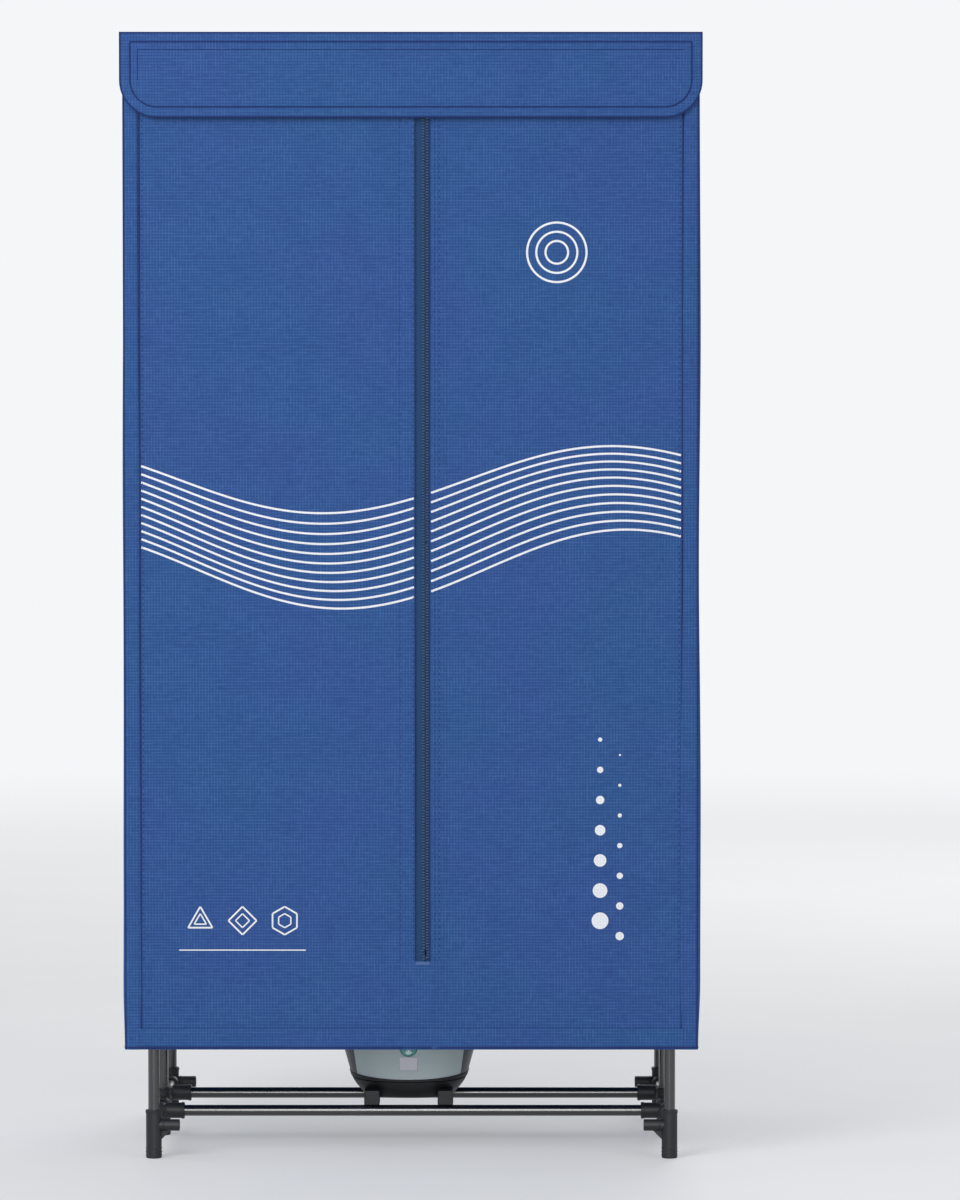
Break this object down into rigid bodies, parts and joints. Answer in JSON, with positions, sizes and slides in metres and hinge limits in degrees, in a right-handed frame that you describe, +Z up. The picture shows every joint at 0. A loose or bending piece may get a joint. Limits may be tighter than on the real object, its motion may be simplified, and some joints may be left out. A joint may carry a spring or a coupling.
{
  "type": "drying cabinet",
  "caption": "Portable clothes-drying cabinet: a zipped cloth cover over a round-tube stand, with a fan heater on two low rails.",
  "frame": {"origin": "on the floor, under the middle of the cabinet's overall box", "axes": "+Z up, the zipped front faces -Y, +X is to the right as seen from the front"},
  "size_m": [0.82, 0.5116, 1.6],
  "materials": {
    "cover_cloth": "woven polyester cloth with a slubbed cross weave, printed in white",
    "zip_tape": "woven zip tape with a nylon coil",
    "zip_metal": "die-cast slider, painted to match the tape",
    "tube_enamel": "round steel tube, glossy black powder coat",
    "socket_plastic": "moulded polypropylene, charcoal",
    "casing_plastic": "moulded ABS, grey, fine grain",
    "base_plastic": "moulded ABS, charcoal, fine grain",
    "face_plastic": "moulded ABS, pale grey-green, satin paint",
    "button_plastic": "moulded ABS, dark teal, polished",
    "window_plastic": "moulded acrylic, milky white",
    "element_metal": "finned aluminium heating block",
    "motor_steel": "pressed steel motor can and shaft",
    "rotor_plastic": "moulded nylon",
    "board_laminate": "green circuit board laminate"
  },
  "bodies": {
    "cabinet": {"cover_roof": "cover_cloth", "cover_back": "cover_cloth", "cover_side_left": "cover_cloth", "cover_side_right": "cover_cloth", "front_header": "cover_cloth", "front_apron": "cover_cloth", "floor_cloth": "cover_cloth", "foot_front_left": "socket_plastic", "upright_front_left": "tube_enamel", "top_connector_front_left": "socket_plastic", "foot_middle_left": "socket_plastic", "upright_middle_left": "tube_enamel", "top_connector_middle_left": "socket_plastic", "foot_rear_left": "socket_plastic", "upright_rear_left": "tube_enamel", "top_connector_rear_left": "socket_plastic", "side_tube_lower_front_left": "tube_enamel", "rail_bracket_front_left": "socket_plastic", "side_tube_lower_rear_left": "tube_enamel", "rail_bracket_rear_left": "socket_plastic", "side_tube_upper_left": "tube_enamel", "foot_front_right": "socket_plastic", "upright_front_right": "tube_enamel", "top_connector_front_right": "socket_plastic", "foot_middle_right": "socket_plastic", "upright_middle_right": "tube_enamel", "top_connector_middle_right": "socket_plastic", "foot_rear_right": "socket_plastic", "upright_rear_right": "tube_enamel", "top_connector_rear_right": "socket_plastic", "side_tube_lower_front_right": "tube_enamel", "rail_bracket_front_right": "socket_plastic", "side_tube_lower_rear_right": "tube_enamel", "rail_bracket_rear_right": "socket_plastic", "side_tube_upper_right": "tube_enamel", "hanging_tube_front": "tube_enamel", "hanging_tube_middle": "tube_enamel", "hanging_tube_rear": "tube_enamel", "heater_rail_front": "tube_enamel", "heater_rail_rear": "tube_enamel", "heater_base": "base_plastic", "heater_shell": "casing_plastic", "heater_front": "face_plastic", "display_window": "window_plastic", "outlet_grille": "base_plastic", "heating_element": "element_metal", "thermal_cutout": "rotor_plastic", "fan_motor": "motor_steel", "control_board": "board_laminate", "power_inlet": "base_plastic"},
    "door_left": {"door_left": "cover_cloth", "zip_tape_left": "zip_tape"},
    "door_right": {"door_right": "cover_cloth", "zip_tape_right": "zip_tape"},
    "flap": {"front_flap": "cover_cloth"},
    "slider": {"zip_slider": "zip_metal", "zip_pull": "zip_metal"},
    "fan": {"fan_rotor": "rotor_plastic"},
    "button": {"power_button": "button_plastic"}
  },
  "joints": [
    {"name": "door_left_swing", "type": "hinge", "parent": "cabinet", "child": "door_left", "pos_m": [-0.385, -0.24845, 0.89], "axis": [0, 0, -1], "range_deg": [0, 100]},
    {"name": "door_right_swing", "type": "hinge", "parent": "cabinet", "child": "door_right", "pos_m": [0.385, -0.24845, 0.89], "axis": [0, 0, 1], "range_deg": [0, 100]},
    {"name": "flap_lift", "type": "hinge", "parent": "cabinet", "child": "flap", "pos_m": [0, -0.25425, 1.6], "axis": [-1, 0, 0], "range_deg": [0, 160]},
    {"name": "zip_slide", "type": "slide", "parent": "cabinet", "child": "slider", "axis": [0, 0, -1], "range_m": [0, 1.2343]},
    {"name": "fan_spin", "type": "hinge", "parent": "cabinet", "child": "fan", "pos_m": [-0.006, 0, 0.115], "axis": [0, 0, 1], "continuous": true},
    {"name": "button_press", "type": "slide", "parent": "cabinet", "child": "button", "axis": [0, 1, 0], "range_m": [0, 0.0015], "stiffness_N_per_m": 600}
  ]
}
